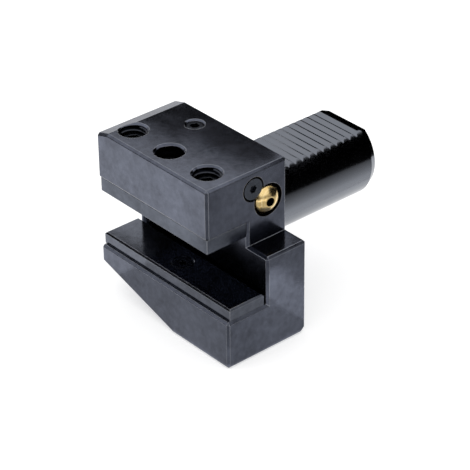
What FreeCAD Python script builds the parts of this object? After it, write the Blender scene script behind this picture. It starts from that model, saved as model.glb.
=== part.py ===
import FreeCAD, Part
import math
import os
import re

import Sketcher

os.makedirs("parts", exist_ok=True)
doc = FreeCAD.newDocument("radial_tool_holder")

# Radial tool holder with a 40 mm toothed shank, for turning tools 20 or 25 mm square.
# The origin is on the shank's axis in the plane of the flange face. +Y runs along the
# shank into the turret, +X points the way the coolant ball looks, and +Z is the toothed
# side of the shank. Lengths are in millimetres.

# Driving dimensions
sheet = doc.addObject("Spreadsheet::Sheet", "Sizes")
SIZES = [
    # Block and jaw of the one-piece holder
    ("body_half_width", 42.5, "shank axis to either end of the lower jaw"),
    ("step_width", 12.5, "upper block stops this far short of the jaw's right end"),
    ("body_depth", 44.0, "flange face to front"),
    ("wall_depth", 22.0, "flange face to the wall of the tool slot"),
    ("block_top", 32.5, "top face above the shank axis"),
    ("block_height", 23.0, "thickness of the upper block over the slot"),
    ("step_drop", 2.5, "top of the right-hand step below the shank axis"),
    ("jaw_drop", 25.5, "top of the lower jaw below the shank axis"),
    ("jaw_height", 23.0, "thickness of the lower jaw"),
    ("jaw_end_height", 8.5, "height of the jaw's left end above the slope"),
    ("slope_foot", 5.8, "slope meets the underside this far right of the shank axis"),
    ("bevel_width", 7.5, "bevel along the top left edge, across"),
    ("bevel_drop", 2.2, "the same bevel, down"),
    ("edge_break", 1.1, "chamfer on the outer edges of the block"),
    ("heel_break", 2.4, "chamfer where the flange face meets the underside"),
    # Shank
    ("shank_radius", 20.0, "ground shank"),
    ("shank_length", 63.0, "flange face to the shank's end"),
    ("shank_lead", 3.4, "lead-in at the shank's end, along the shank"),
    ("shank_lead_drop", 1.5, "the same lead-in, radially"),
    ("crest_height", 16.0, "tooth crests above the shank axis"),
    ("tooth_pitch", 4.0, "pitch of the teeth along the shank"),
    ("tooth_depth", 1.66, "crest to root"),
    ("tooth_count", 11, "grooves"),
    ("first_tooth", 15.8, "first root from the flange face"),
    ("flat_start", 12.6, "start of the toothed flat"),
    ("flat_lead", 4.4, "lead-in bevel at the end of the toothed flat, along the shank"),
    ("flat_lead_drop", 1.5, "the same bevel, down"),
    ("centre_hole_radius", 3.2, "mouth of the centre hole in the shank's end"),
    ("centre_drill_radius", 1.6, "the same hole behind its cone"),
    ("centre_hole_depth", 9.6, "its depth"),
    ("seal_cord_radius", 1.5, "half the cord of the shank's sealing ring"),
    ("seal_recess_depth", 2.7, "recess in the flange face for the sealing ring"),
    ("shank_relief", 0.3, "the shank is this much smaller inside that recess, radially"),
    # Clamping
    ("clamp_screw_radius", 6.0, "M12 clamping screw"),
    ("clamp_screw_length", 20.0, "clamping screw, point to socket"),
    ("clamp_screw_inset", 12.0, "end of the block to the nearer clamping screw"),
    ("clamp_line_setback", 10.8, "front face to the line of the clamping screws"),
    ("point_radius", 4.2, "point of the clamping screw"),
    ("point_length", 1.5, "length of that point"),
    ("point_seat_depth", 1.0, "seat for the point in the clamp plate"),
    ("clamp_socket", 6.0, "hexagon socket across flats"),
    ("clamp_socket_depth", 9.0, "depth of that socket"),
    ("clamp_end_break", 0.9, "chamfer at the clamping screw's ends"),
    ("clamp_mouth", 0.9, "countersink of the clamping screws' bores"),
    ("plate_height", 7.4, "clamp plate thickness"),
    ("plate_left_inset", 2.0, "clamp plate's left end in from the block's"),
    ("plate_wall_gap", 0.7, "clamp plate clear of the slot's wall"),
    ("plate_gap", 0.1, "clamp plate below the block when lifted"),
    ("plate_edge_break", 0.8, "chamfer on the clamp plate's lower edges"),
    ("guide_pin_radius", 2.5, "guide pin of the clamp plate"),
    ("guide_pin_length", 16.0, "length of the guide pin"),
    ("guide_pin_inset", 0.8, "pin's lower end above the plate's underside"),
    ("lift_screw_radius", 3.0, "M6 screw that carries the clamp plate"),
    ("lift_screw_length", 18.0, "the same screw under its head"),
    ("lift_head_radius", 5.0, "its head"),
    ("lift_head_height", 6.0, "its head's height"),
    ("lift_socket", 5.0, "its hexagon socket across flats"),
    ("lift_socket_depth", 3.0, "depth of that socket"),
    ("lift_bore_radius", 6.0, "counterbore over the head"),
    ("lift_mouth", 0.95, "countersink of that counterbore"),
    ("lift_ledge", 3.5, "ledge that the spring stands on, above the block's underside"),
    ("spring_wire_radius", 0.4, "wire of the lifting spring"),
    ("spring_radius", 4.3, "mean radius of its coils"),
    ("spring_length", 7.0, "its length with the plate lifted"),
    ("spring_turns", 3.5, "its turns"),
    ("washer_height", 1.0, "washer between spring and head"),
    ("washer_radius", 5.2, "outer radius of that washer"),
    # Support plate under the tool
    ("seat_height", 5.5, "support plate thickness"),
    ("seat_front_setback", 2.0, "support plate behind the jaw's front"),
    ("seat_wall_gap", 1.2, "support plate clear of the slot's wall"),
    ("seat_right_inset", 1.0, "support plate short of the jaw's right end"),
    ("seat_left_inset", 0.3, "support plate short of the jaw's left end"),
    ("seat_edge_break", 0.8, "chamfer on the support plate's upper edges"),
    ("seat_screw_radius", 2.5, "M5 countersunk screw"),
    ("seat_head_radius", 4.7, "its head"),
    ("seat_screw_length", 14.0, "its length"),
    ("seat_socket", 3.0, "its hexagon socket across flats"),
    ("seat_socket_depth", 2.0, "depth of that socket"),
    ("seat_head_rim", 0.25, "straight rim of its head"),
    ("seat_head_sink", 0.2, "its head below the seat"),
    ("dowel_radius", 2.0, "dowel pin of the support plate"),
    ("dowel_length", 8.0, "its length"),
    ("dowel_rise", 3.6, "how far it stands out of the jaw"),
    ("dowel_inset", 11.85, "end of the plate to the nearer dowel pin"),
    # Coolant ball and its lock screw
    ("ball_radius", 7.5, "coolant ball"),
    ("ball_depth", 4.9, "its centre behind the right-hand face"),
    ("ball_behind_flange", 10.4, "its centre from the flange face"),
    ("ball_above_axis", 15.9, "its centre above the shank axis"),
    ("ball_flat", 7.05, "its centre to the flat round the orifice"),
    ("ball_back_flat", 6.9, "its centre to the flat at the back"),
    ("orifice_radius", 2.0, "orifice of the ball"),
    ("ball_aim", 5.5, "orifice turned this far towards the front, in degrees"),
    ("ball_inlet_radius", 2.6, "widened back end of the ball's bore"),
    ("ball_inlet_depth", 5.0, "depth of that widening"),
    ("ball_bore_depth", 9.0, "socket of the ball, from the face"),
    ("ball_mouth", 0.15, "broken edge of the socket"),
    ("ball_seal_radius", 5.2, "mean radius of the ball's sealing ring"),
    ("ball_seal_cord_radius", 1.25, "half its cord"),
    ("lock_screw_radius", 2.5, "M5 countersunk lock screw"),
    ("lock_head_radius", 5.15, "its head"),
    ("lock_head_rim", 0.35, "straight rim of its head"),
    ("lock_sink", 0.2, "its head below the face"),
    ("lock_length", 12.0, "its length"),
    ("lock_socket", 3.0, "its hexagon socket across flats"),
    ("lock_socket_depth", 2.0, "depth of that socket"),
    # Coolant drillings and plugs
    ("drilling_radius", 3.5, "coolant drilling down from the top"),
    ("cross_radius", 3.0, "coolant drilling across to the ball"),
    ("drilling_left", 17.1, "that drilling, its plug and the inlets left of the shank axis"),
    ("top_plug_radius", 4.0, "top plug, M8"),
    ("top_plug_length", 6.5, "its length"),
    ("top_plug_sink", 0.7, "its face below the top"),
    ("top_plug_socket", 4.0, "its hexagon socket across flats"),
    ("top_socket_depth", 4.0, "depth of that socket"),
    ("top_plug_mouth", 0.65, "countersink over it"),
    ("inlet_land", 0.61, "steel between the sealing ring's recess and the inlet plug"),
    ("inlet_radius", 3.0, "coolant inlets"),
    ("inlet_plug_radius", 4.0, "plug of the lower inlet"),
    ("inlet_plug_length", 6.0, "its length"),
    ("inlet_plug_sink", 0.5, "its face behind the flange face"),
    ("inlet_plug_socket", 4.0, "its hexagon socket across flats"),
    ("inlet_socket_depth", 3.0, "depth of that socket"),
    # Ends of small pieces and of drilled holes
    ("pin_edge_break", 0.4, "chamfer at the ends of the pins"),
    ("screw_end_break", 0.6, "chamfer at the end of the M5 and M6 screws"),
    ("plug_edge_break", 0.6, "chamfer at the ends of the plugs"),
    ("drilling_overrun", 2.0, "a drilling past the end of its screw, or past the drilling that it meets"),
    # Fits
    ("running_clearance", 0.05, "radial, where one piece slides or turns in another"),
    ("seat_clearance", 0.05, "where a moving piece lies against a face"),
    ("screw_hole_clearance", 0.3, "radial, where a screw passes through"),
    ("ring_clearance", 0.25, "round the sealing rings"),
    ("drill_point", 118.0, "angle of a drilled hole's bottom, in degrees"),
]
for row, (alias, value, note) in enumerate(SIZES, start=1):
    sheet.set(f"A{row}", note)
    sheet.set(f"B{row}", str(value))
    sheet.setAlias(f"B{row}", alias)
ALIASES = {alias for alias, _, _ in SIZES}
doc.recompute()


def size(expression):
    """The value of an expression in the sheet's names."""
    return float(sheet.evalExpression(expression))


def linked(expression):
    """The same expression for a property: each of the sheet's names is looked up in it."""
    def look_up(word):
        return f"Sizes.{word.group()}" if word.group() in ALIASES else word.group()
    return re.sub(r"[A-Za-z_]\w*", look_up, expression)


# Places that several pieces share, written in the sheet's names
BLOCK_RIGHT = "(body_half_width - step_width)"
BLOCK_LEFT = "(-body_half_width)"
BLOCK_UNDER = "(block_top - block_height)"
BLOCK_MIDDLE = f"(({BLOCK_RIGHT} + {BLOCK_LEFT}) / 2)"
PLATE_TOP = f"({BLOCK_UNDER} - plate_gap)"
PLATE_UNDER = f"({PLATE_TOP} - plate_height)"
CLAMP_LINE = "(-body_depth + clamp_line_setback)"
JAW_TOP = "(-jaw_drop)"
JAW_UNDER = "(-jaw_drop - jaw_height)"
SEAT_TOP = f"({JAW_TOP} + seat_height)"
SEAT_MIDDLE = "((-body_depth + seat_front_setback - wall_depth - seat_wall_gap) / 2)"
SEAT_CENTRE = "((seat_left_inset - seat_right_inset) / 2)"
BALL_Y = "(-ball_behind_flange)"
BALL_Z = "ball_above_axis"
BALL_X = f"({BLOCK_RIGHT} - ball_depth)"
HEAD_RIM_AHEAD = "(ball_depth - lock_sink - lock_head_rim)"
BALL_AT_RIM = f"sqrt((ball_radius + running_clearance)^2 - {HEAD_RIM_AHEAD}^2)"
LOCK_OFFSET = f"((lock_head_radius + {BALL_AT_RIM}) / sqrt(2))"
LOCK_Y = f"({BALL_Y} - {LOCK_OFFSET})"
LOCK_Z = f"({BALL_Z} + {LOCK_OFFSET})"
LEDGE = f"({BLOCK_UNDER} + lift_ledge)"
LIFT_HEAD_UNDER = f"({LEDGE} + spring_length + washer_height)"
SEAL_REACH = "sqrt((ball_radius + ball_seal_cord_radius)^2 - ball_seal_radius^2)"
SEAL_X = f"({BALL_X} - {SEAL_REACH} - seat_clearance)"
RECESS_RADIUS = "(shank_radius + 2 * seal_cord_radius + ring_clearance)"
INLET_HEIGHT = f"sqrt(({RECESS_RADIUS} + inlet_plug_radius + inlet_land)^2 - drilling_left^2)"
SEAL_POCKET_END = f"({SEAL_X} - ball_seal_cord_radius - seat_clearance)"


def origin_plane(body, role):
    return [feature for feature in body.Origin.OriginFeatures if feature.Role == role][0]


def sketch_on(body, name, role, offset):
    sketch = body.newObject("Sketcher::SketchObject", name)
    sketch.AttachmentSupport = [(origin_plane(body, role), "")]
    sketch.MapMode = "FlatFace"
    if offset is not None:
        sketch.setExpression("AttachmentOffset.Base.z", linked(offset))
    return sketch


def pin_point(sketch, geometry, point, across, along):
    """Ties one point of a sketch to the sheet."""
    for kind, expression in (("DistanceX", across), ("DistanceY", along)):
        tie = Sketcher.Constraint(kind, -1, 1, geometry, point, size(expression))
        index = sketch.addConstraint(tie)
        sketch.setExpression(f"Constraints[{index}]", linked(expression))


def outline(body, name, role, corners, offset=None):
    """A closed outline of straight lines through corners, each tied to the sheet."""
    sketch = sketch_on(body, name, role, offset)
    places = [FreeCAD.Vector(size(across), size(along), 0) for across, along in corners]
    count = len(places)
    for index in range(count):
        line = Part.LineSegment(places[index], places[(index + 1) % count])
        sketch.addGeometry(line, False)
    for index in range(count):
        joint = Sketcher.Constraint("Coincident", index, 2, (index + 1) % count, 1)
        sketch.addConstraint(joint)
    for index, (across, along) in enumerate(corners):
        pin_point(sketch, index, 1, across, along)
    return sketch


def circles(body, name, role, centres, radius, offset=None):
    """Circles of one radius, each centre tied to the sheet."""
    sketch = sketch_on(body, name, role, offset)
    for index, (across, along) in enumerate(centres):
        centre = FreeCAD.Vector(size(across), size(along), 0)
        circle = Part.Circle(centre, FreeCAD.Vector(0, 0, 1), size(radius))
        sketch.addGeometry(circle, False)
        pin_point(sketch, index, 3, across, along)
        tie = sketch.addConstraint(Sketcher.Constraint("Radius", index, size(radius)))
        sketch.setExpression(f"Constraints[{tie}]", linked(radius))
    return sketch


def volume_of(body):
    doc.recompute()
    return body.Shape.Volume if body.Tip is not None else 0.0


def pad(body, name, sketch, length, backwards=False):
    before = volume_of(body)
    feature = body.newObject("PartDesign::Pad", name)
    feature.Profile = sketch
    feature.setExpression("Length", linked(length))
    feature.Reversed = backwards
    if volume_of(body) <= before:
        raise RuntimeError(f"{body.Label}: {name} adds nothing")
    return feature


def pocket(body, name, sketch, length, backwards=False, both_ways=False):
    before = volume_of(body)
    feature = body.newObject("PartDesign::Pocket", name)
    feature.Profile = sketch
    feature.setExpression("Length", linked(length))
    feature.Reversed = backwards
    feature.Midplane = both_ways
    if volume_of(body) >= before:
        raise RuntimeError(f"{body.Label}: {name} cuts nothing")
    return feature


def turn(body, name, sketch, axis, cut=False):
    """Revolves a half profile round a sketch axis, to add or to cut."""
    before = volume_of(body)
    feature = body.newObject("PartDesign::Groove" if cut else "PartDesign::Revolution", name)
    feature.Profile = sketch
    feature.ReferenceAxis = (sketch, [axis])
    feature.Angle = 360.0
    after = volume_of(body)
    if (after >= before) if cut else (after <= before):
        raise RuntimeError(f"{body.Label}: {name} changes nothing")
    return feature


NEARLY_SQUARE = 0.35  # largest cosine between the normals of two faces that count as square
PROBE_STEP = 0.05     # how far from an edge the solid is felt for
SAME_PLACE = 1e-6


def is_outer_corner(shape, edge):
    """True for a straight edge where two faces meet squarely and the solid is inside."""
    if not isinstance(edge.Curve, Part.Line):
        return False
    faces = shape.ancestorsOfType(edge, Part.Face)
    if len(faces) != 2 or any(not isinstance(face.Surface, Part.Plane) for face in faces):
        return False
    first, second = [face.normalAt(0, 0) for face in faces]
    if abs(first.dot(second)) > NEARLY_SQUARE:
        return False
    middle = edge.valueAt((edge.FirstParameter + edge.LastParameter) / 2)
    inward = middle - (first + second) * PROBE_STEP
    beside = middle + (first - second) * PROBE_STEP
    return shape.isInside(inward, SAME_PLACE, False) and not shape.isInside(beside, SAME_PLACE, False)


def break_edges(body, name, chosen, width):
    """Chamfers the chosen edges of the body as it stands."""
    doc.recompute()
    base = body.Tip
    shape = base.Shape
    edges = [f"Edge{number}" for number, edge in enumerate(shape.Edges, start=1) if chosen(shape, edge)]
    before = volume_of(body)
    feature = body.newObject("PartDesign::Chamfer", name)
    feature.Base = (base, edges)
    feature.setExpression("Size", linked(width))
    if volume_of(body) >= before:
        raise RuntimeError(f"{body.Label}: {name} cuts nothing")
    return feature


def hole(body, name, role, offset, centres, radius, depth, mouth=None, angle=90.0, flat=False,
         backwards=False):
    """Drilled holes that start in one plane; mouth is the radius of a countersink there."""
    before = volume_of(body)
    sketch = circles(body, name + "_centres", role, centres, radius, offset)
    doc.recompute()
    feature = body.newObject("PartDesign::Hole", name)
    feature.Profile = sketch
    doc.recompute()
    feature.ThreadType = "None"
    feature.DepthType = "Dimension"
    feature.Reversed = backwards
    feature.setExpression("Diameter", linked(f"2 * ({radius})"))
    feature.setExpression("Depth", linked(depth))
    feature.DrillPoint = "Flat" if flat else "Angled"
    if not flat:
        feature.setExpression("DrillPointAngle", linked("drill_point"))
    if mouth is not None:
        feature.HoleCutType = "Countersink"
        feature.HoleCutCustomValues = True
        feature.HoleCutCountersinkAngle = angle
        feature.setExpression("HoleCutDiameter", linked(f"2 * ({mouth})"))
    if volume_of(body) >= before:
        raise RuntimeError(f"{body.Label}: {name} cuts nothing")
    return feature


def new_body(label):
    body = doc.addObject("PartDesign::Body", label)
    body.Label = label
    return body


def place(piece, across, along, height, rotation=None):
    """Puts a piece that is built about its own origin in its place in the holder."""
    if rotation is not None:
        piece.Placement = FreeCAD.Placement(FreeCAD.Vector(), rotation)
    for letter, expression in (("x", across), ("y", along), ("z", height)):
        piece.setExpression(f"Placement.Base.{letter}", linked(expression))
    return piece


def turned(label, profile):
    """A piece turned about its own Z axis from a half profile of radius and height."""
    body = new_body(label)
    sketch = outline(body, label + "_profile", "XZ_Plane", profile)
    turn(body, label + "_turning", sketch, "V_Axis")
    return body


def hexagon_socket(body, across_flats, top, depth):
    """A hexagon socket that opens upwards at the height top."""
    corners = [(f"({across_flats}) / sqrt(3) * cos({60 * side} deg)",
                f"({across_flats}) / sqrt(3) * sin({60 * side} deg)") for side in range(6)]
    sketch = outline(body, body.Label + "_hexagon", "XY_Plane", corners, top)
    pocket(body, body.Label + "_socket", sketch, depth)
    return body


TO_RIGHT = FreeCAD.Rotation(FreeCAD.Vector(0, 1, 0), 90)
TO_SHANK = FreeCAD.Rotation(FreeCAD.Vector(1, 0, 0), -90)


# Holder body: block, slot, jaw and shank forged and machined in one piece
holder = new_body("holder_body")

def is_heel(shape, edge):
    """True for the edge between the flange face and the underside."""
    middle = edge.CenterOfMass
    return (is_outer_corner(shape, edge) and abs(middle.y) < SAME_PLACE
            and abs(middle.z - size(JAW_UNDER)) < SAME_PLACE)


def is_broken_edge(shape, edge):
    """True for an outer corner, but not where the clamp plate closes against the block."""
    middle = edge.CenterOfMass
    at_clamp_plate = (abs(middle.z - size(BLOCK_UNDER)) < SAME_PLACE
                      and middle.x > size(BLOCK_LEFT) + SAME_PLACE)
    return is_outer_corner(shape, edge) and not at_clamp_plate


block_section = [
    ("0", JAW_UNDER), ("0", "block_top"), ("-body_depth", "block_top"), ("-body_depth", BLOCK_UNDER),
    ("-wall_depth", BLOCK_UNDER), ("-wall_depth", JAW_TOP), ("-body_depth", JAW_TOP),
    ("-body_depth", JAW_UNDER),
]
step_section = [
    ("0", JAW_UNDER), ("0", "-step_drop"), ("-wall_depth", "-step_drop"), ("-wall_depth", JAW_TOP),
    ("-body_depth", JAW_TOP), ("-body_depth", JAW_UNDER),
]
pad(holder, "block", outline(holder, "block_section", "YZ_Plane", block_section, BLOCK_LEFT),
    f"{BLOCK_RIGHT} - {BLOCK_LEFT}")
pad(holder, "step", outline(holder, "step_section", "YZ_Plane", step_section, BLOCK_RIGHT), "step_width")
slope_section = [(BLOCK_LEFT, f"{JAW_TOP} - jaw_end_height"), (BLOCK_LEFT, JAW_UNDER),
                 ("slope_foot", JAW_UNDER)]
pocket(holder, "jaw_slope", outline(holder, "slope_section", "XZ_Plane", slope_section), "body_depth",
       backwards=True)
bevel_section = [(BLOCK_LEFT, "block_top - bevel_drop"), (BLOCK_LEFT, "block_top"),
                 (f"{BLOCK_LEFT} + bevel_width", "block_top")]
pocket(holder, "top_bevel", outline(holder, "bevel_section", "XZ_Plane", bevel_section), "body_depth",
       backwards=True)
break_edges(holder, "broken_heel", is_heel, "heel_break")
break_edges(holder, "broken_edges", is_broken_edge, "edge_break")

# Shank with its toothed flat
shank_section = [("0", "0"), ("0", "shank_radius"), ("flat_start", "shank_radius"),
                 ("shank_length - shank_lead", "shank_radius"),
                 ("shank_length", "shank_radius - shank_lead_drop"), ("shank_length", "0")]
shank = turn(holder, "shank", outline(holder, "shank_section", "YZ_Plane", shank_section), "H_Axis")
recess_section = [("0", "shank_radius - shank_relief"), ("0", RECESS_RADIUS),
                  ("-seal_recess_depth", RECESS_RADIUS), ("-seal_recess_depth", "shank_radius - shank_relief")]
turn(holder, "seal_recess", outline(holder, "recess_section", "YZ_Plane", recess_section), "H_Axis", cut=True)
flat_section = [("flat_start", "crest_height"), ("shank_length", "crest_height"),
                ("shank_length", "shank_radius"), ("flat_start", "shank_radius")]
pocket(holder, "flat", outline(holder, "flat_section", "YZ_Plane", flat_section), "2 * shank_radius",
       both_ways=True)
lead_section = [("shank_length - flat_lead", "crest_height"), ("shank_length", "crest_height"),
                ("shank_length", "crest_height - flat_lead_drop")]
pocket(holder, "flat_lead_in", outline(holder, "lead_section", "YZ_Plane", lead_section), "2 * shank_radius",
       both_ways=True)
tooth_section = [("first_tooth - tooth_depth", "crest_height"), ("first_tooth + tooth_depth", "crest_height"),
                 ("first_tooth", "crest_height - tooth_depth")]
groove = pocket(holder, "tooth_groove", outline(holder, "tooth_section", "YZ_Plane", tooth_section),
                "2 * shank_radius", both_ways=True)
teeth = holder.newObject("PartDesign::LinearPattern", "teeth")
teeth.Originals = [groove]
teeth.Direction = (origin_plane(holder, "Y_Axis"), [""])
teeth.setExpression("Length", linked("tooth_pitch * (tooth_count - 1)"))
teeth.setExpression("Occurrences", linked("tooth_count"))
holder.Tip = teeth
hole(holder, "centre_hole", "XZ_Plane", "-shank_length", [("0", "0")], "centre_drill_radius",
     "centre_hole_depth", mouth="centre_hole_radius", angle=60.0, backwards=True)

# Bores for the clamping screws, the lifting screw and the guide pins
CLAMP_LEFT = f"({BLOCK_LEFT} + clamp_screw_inset)"
CLAMP_RIGHT = f"({BLOCK_RIGHT} - clamp_screw_inset)"
GUIDE_LEFT = f"(({CLAMP_LEFT} + {BLOCK_MIDDLE}) / 2)"
GUIDE_RIGHT = f"(({CLAMP_RIGHT} + {BLOCK_MIDDLE}) / 2)"
hole(holder, "clamp_bores", "XY_Plane", "block_top", [(CLAMP_LEFT, CLAMP_LINE), (CLAMP_RIGHT, CLAMP_LINE)],
     "clamp_screw_radius", "block_height + plate_gap", mouth="clamp_screw_radius + clamp_mouth", flat=True)
hole(holder, "lift_bore", "XY_Plane", "block_top", [(BLOCK_MIDDLE, CLAMP_LINE)], "lift_bore_radius",
     "block_height - lift_ledge", mouth="lift_bore_radius + lift_mouth", flat=True)
hole(holder, "lift_clearance", "XY_Plane", LEDGE, [(BLOCK_MIDDLE, CLAMP_LINE)],
     "lift_screw_radius + screw_hole_clearance", "lift_ledge + plate_gap", flat=True)
GUIDE_REACH = "(guide_pin_length + guide_pin_inset - plate_height - plate_gap)"
hole(holder, "guide_bores", "XY_Plane", BLOCK_UNDER, [(GUIDE_LEFT, CLAMP_LINE), (GUIDE_RIGHT, CLAMP_LINE)],
     "guide_pin_radius + running_clearance", f"{GUIDE_REACH} + guide_pin_inset", backwards=True)

# Coolant way: two inlets in the flange face, a drilling from the top and one across
hole(holder, "ball_socket", "YZ_Plane", BLOCK_RIGHT, [(BALL_Y, BALL_Z)], "ball_radius + running_clearance",
     "ball_bore_depth", mouth="ball_radius + running_clearance + ball_mouth", flat=True)
SEAL_POCKET_RADIUS = "(ball_seal_radius + ball_seal_cord_radius + ring_clearance)"
hole(holder, "ball_seal_pocket", "YZ_Plane", f"{BLOCK_RIGHT} - ball_bore_depth", [(BALL_Y, BALL_Z)],
     SEAL_POCKET_RADIUS, f"{BLOCK_RIGHT} - ball_bore_depth - {SEAL_POCKET_END}", flat=True)
hole(holder, "cross_drilling", "YZ_Plane", SEAL_POCKET_END, [(BALL_Y, BALL_Z)], "cross_radius",
     f"{SEAL_POCKET_END} + drilling_left + drilling_overrun")
hole(holder, "top_plug_bore", "XY_Plane", "block_top", [("-drilling_left", BALL_Y)], "top_plug_radius",
     "top_plug_sink + top_plug_length", mouth="top_plug_radius + top_plug_mouth", flat=True)
hole(holder, "top_drilling", "XY_Plane", "block_top - top_plug_sink - top_plug_length",
     [("-drilling_left", BALL_Y)], "drilling_radius",
     f"block_top - top_plug_sink - top_plug_length + {INLET_HEIGHT} + drilling_overrun")
hole(holder, "inlets", "XZ_Plane", "0",
     [("-drilling_left", INLET_HEIGHT), ("-drilling_left", f"-{INLET_HEIGHT}")], "inlet_radius",
     "ball_behind_flange", backwards=True)
hole(holder, "inlet_plug_bore", "XZ_Plane", "0", [("-drilling_left", f"-{INLET_HEIGHT}")], "inlet_plug_radius",
     "inlet_plug_sink + inlet_plug_length", flat=True, backwards=True)
LOCK_SINK_RADIUS = "(lock_head_radius + lock_head_rim + lock_sink + seat_clearance)"
hole(holder, "lock_bore", "YZ_Plane", BLOCK_RIGHT, [(LOCK_Y, LOCK_Z)], "lock_screw_radius",
     "lock_sink + lock_length + drilling_overrun", mouth=LOCK_SINK_RADIUS)

# Holes in the jaw for the support plate
SEAT_LEFT_PIN = f"({BLOCK_LEFT} + seat_left_inset + dowel_inset)"
SEAT_RIGHT_PIN = "(body_half_width - seat_right_inset - dowel_inset)"
hole(holder, "seat_screw_bore", "XY_Plane", JAW_TOP, [(SEAT_CENTRE, SEAT_MIDDLE)], "seat_screw_radius",
     "seat_screw_length - seat_height + seat_head_sink + drilling_overrun")
hole(holder, "dowel_bores", "XY_Plane", JAW_TOP,
     [(SEAT_LEFT_PIN, SEAT_MIDDLE), (SEAT_RIGHT_PIN, SEAT_MIDDLE)], "dowel_radius",
     "dowel_length - dowel_rise", flat=True)

# The shank keeps a full round face of its own between the flange and the start of its flat
SHANK_ON = holder.Group.index(shank)
for feature in holder.Group[SHANK_ON:]:
    if "Refine" in feature.PropertiesList:
        feature.Refine = False


def ring(label, mean_radius, cord_radius):
    """A rubber sealing ring of round cord about its own Z axis."""
    torus = doc.addObject("Part::Torus", label)
    torus.Label = label
    torus.setExpression("Radius1", linked(mean_radius))
    torus.setExpression("Radius2", linked(cord_radius))
    return torus


# Sealing ring in the flange face round the shank
shank_seal = ring("shank_seal_ring", "shank_radius + seal_cord_radius + seat_clearance", "seal_cord_radius")
place(shank_seal, "0", "-seal_recess_depth + seal_cord_radius", "0", TO_SHANK)


# Clamp plate, drawn up under the block by its spring
clamp_plate = new_body("clamp_plate")
PLATE_LEFT = f"({BLOCK_LEFT} + plate_left_inset)"
PLATE_BACK = "(-wall_depth - plate_wall_gap)"
plate_outline = [(PLATE_LEFT, "-body_depth"), (BLOCK_RIGHT, "-body_depth"), (BLOCK_RIGHT, PLATE_BACK),
                 (PLATE_LEFT, PLATE_BACK)]
pad(clamp_plate, "plate", outline(clamp_plate, "plate_outline", "XY_Plane", plate_outline, PLATE_UNDER),
    "plate_height")


def at_height(height):
    """A test for edges that lie all in one level plane."""
    level = size(height)
    return lambda shape, edge: all(abs(vertex.Point.z - level) < SAME_PLACE for vertex in edge.Vertexes)


break_edges(clamp_plate, "plate_edges", at_height(PLATE_UNDER), "plate_edge_break")
hole(clamp_plate, "point_seats", "XY_Plane", PLATE_TOP, [(CLAMP_LEFT, CLAMP_LINE), (CLAMP_RIGHT, CLAMP_LINE)],
     "point_radius + running_clearance", "point_seat_depth", flat=True)
hole(clamp_plate, "lift_thread", "XY_Plane", PLATE_TOP, [(BLOCK_MIDDLE, CLAMP_LINE)], "lift_screw_radius",
     "plate_height", flat=True)
hole(clamp_plate, "pin_seats", "XY_Plane", PLATE_TOP, [(GUIDE_LEFT, CLAMP_LINE), (GUIDE_RIGHT, CLAMP_LINE)],
     "guide_pin_radius", "plate_height - guide_pin_inset", flat=True)


def cylinder_pin(label, radius, length):
    """A dowel pin with both ends chamfered, standing on its own origin."""
    return turned(label, [
        ("0", "0"), (f"{radius} - pin_edge_break", "0"), (radius, "pin_edge_break"),
        (radius, f"{length} - pin_edge_break"), (f"{radius} - pin_edge_break", length), ("0", length)])


# Guide pins pressed into the clamp plate
for label, across in (("guide_pin_left", GUIDE_LEFT), ("guide_pin_right", GUIDE_RIGHT)):
    place(cylinder_pin(label, "guide_pin_radius", "guide_pin_length"), across, CLAMP_LINE,
          f"{PLATE_UNDER} + guide_pin_inset")


def clamp_screw(label):
    """A set screw with a flat point, its point standing on its own origin."""
    radius = "(clamp_screw_radius - running_clearance)"
    edge = "clamp_end_break"
    screw = turned(label, [
        ("0", "0"), ("point_radius", "0"), ("point_radius", "point_length"),
        (f"{radius} - {edge}", "point_length"), (radius, f"point_length + {edge}"),
        (radius, f"clamp_screw_length - {edge}"), (f"{radius} - {edge}", "clamp_screw_length"),
        ("0", "clamp_screw_length")])
    return hexagon_socket(screw, "clamp_socket", "clamp_screw_length", "clamp_socket_depth")


# Clamping screws that press the clamp plate onto the tool
for label, across in (("clamp_screw_left", CLAMP_LEFT), ("clamp_screw_right", CLAMP_RIGHT)):
    place(clamp_screw(label), across, CLAMP_LINE, f"{PLATE_TOP} - point_seat_depth")

# Screw that carries the clamp plate, with its head over the spring
lift_screw = turned("lift_screw", [
    ("0", "-lift_screw_length"), ("lift_screw_radius - screw_end_break", "-lift_screw_length"),
    ("lift_screw_radius", "-lift_screw_length + screw_end_break"), ("lift_screw_radius", "0"),
    ("lift_head_radius", "0"), ("lift_head_radius", "lift_head_height - screw_end_break"),
    ("lift_head_radius - screw_end_break", "lift_head_height"), ("0", "lift_head_height")])
hexagon_socket(lift_screw, "lift_socket", "lift_head_height", "lift_socket_depth")
place(lift_screw, BLOCK_MIDDLE, CLAMP_LINE, LIFT_HEAD_UNDER)

# Washer between the screw's head and the spring
lift_washer = turned("lift_washer", [
    ("lift_screw_radius", "0"), ("washer_radius", "0"), ("washer_radius", "washer_height"),
    ("lift_screw_radius", "washer_height")])
place(lift_washer, BLOCK_MIDDLE, CLAMP_LINE, f"{LIFT_HEAD_UNDER} - washer_height")

# Lifting spring between the ledge in the block and the washer. Its wire is a straight run
# between neighbouring points of the coil, mitred where two runs meet.
COIL_STEPS = 16
WIRE_SIDES = 12


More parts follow.
